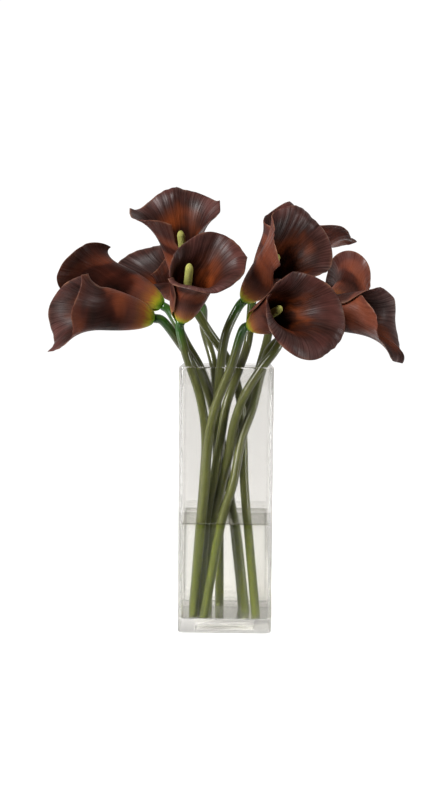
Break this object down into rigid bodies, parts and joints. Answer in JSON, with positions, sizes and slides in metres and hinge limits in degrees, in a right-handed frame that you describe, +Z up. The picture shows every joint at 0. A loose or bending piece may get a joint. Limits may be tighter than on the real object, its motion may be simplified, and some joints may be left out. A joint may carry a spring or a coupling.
{
  "type": "calla lily bouquet in a vase",
  "caption": "Tall square clear glass vase, part filled with water, holding a loose spray of dark burgundy calla lily flowers on long crossing green stems.",
  "frame": {"origin": "centre of the vase's foot, on the surface it stands on", "axes": "+Z up; +Y from the front of the arrangement to its back; +X to the right seen from the front"},
  "size_m": [0.3834, 0.2767, 0.4768],
  "materials": {
    "glass": "clear polished",
    "water": "clear water, faintly green",
    "spathe": "satin, dark chocolate burgundy with paler edges",
    "spadix": "fine grained, pale yellow green",
    "stem": "satin olive green"
  },
  "bodies": {
    "root": {"vase": "glass", "water": "water", "spathe_low_left": "spathe", "spathe_left": "spathe", "spathe_back_left": "spathe", "spathe_top": "spathe", "spathe_centre": "spathe", "spathe_upper_right": "spathe", "spathe_back_right": "spathe", "spathe_far_right": "spathe", "spathe_right": "spathe", "spathe_low_right": "spathe", "spathe_front_right": "spathe", "spadix_low_left": "spadix", "spadix_left": "spadix", "spadix_back_left": "spadix", "spadix_top": "spadix", "spadix_centre": "spadix", "spadix_upper_right": "spadix", "spadix_back_right": "spadix", "spadix_far_right": "spadix", "spadix_right": "spadix", "spadix_low_right": "spadix", "spadix_front_right": "spadix", "stem_low_left": "stem", "stem_left": "stem", "stem_back_left": "stem", "stem_top": "stem", "stem_centre": "stem", "stem_upper_right": "stem", "stem_back_right": "stem", "stem_far_right": "stem", "stem_right": "stem", "stem_low_right": "stem", "stem_front_right": "stem"}
  },
  "joints": []
}
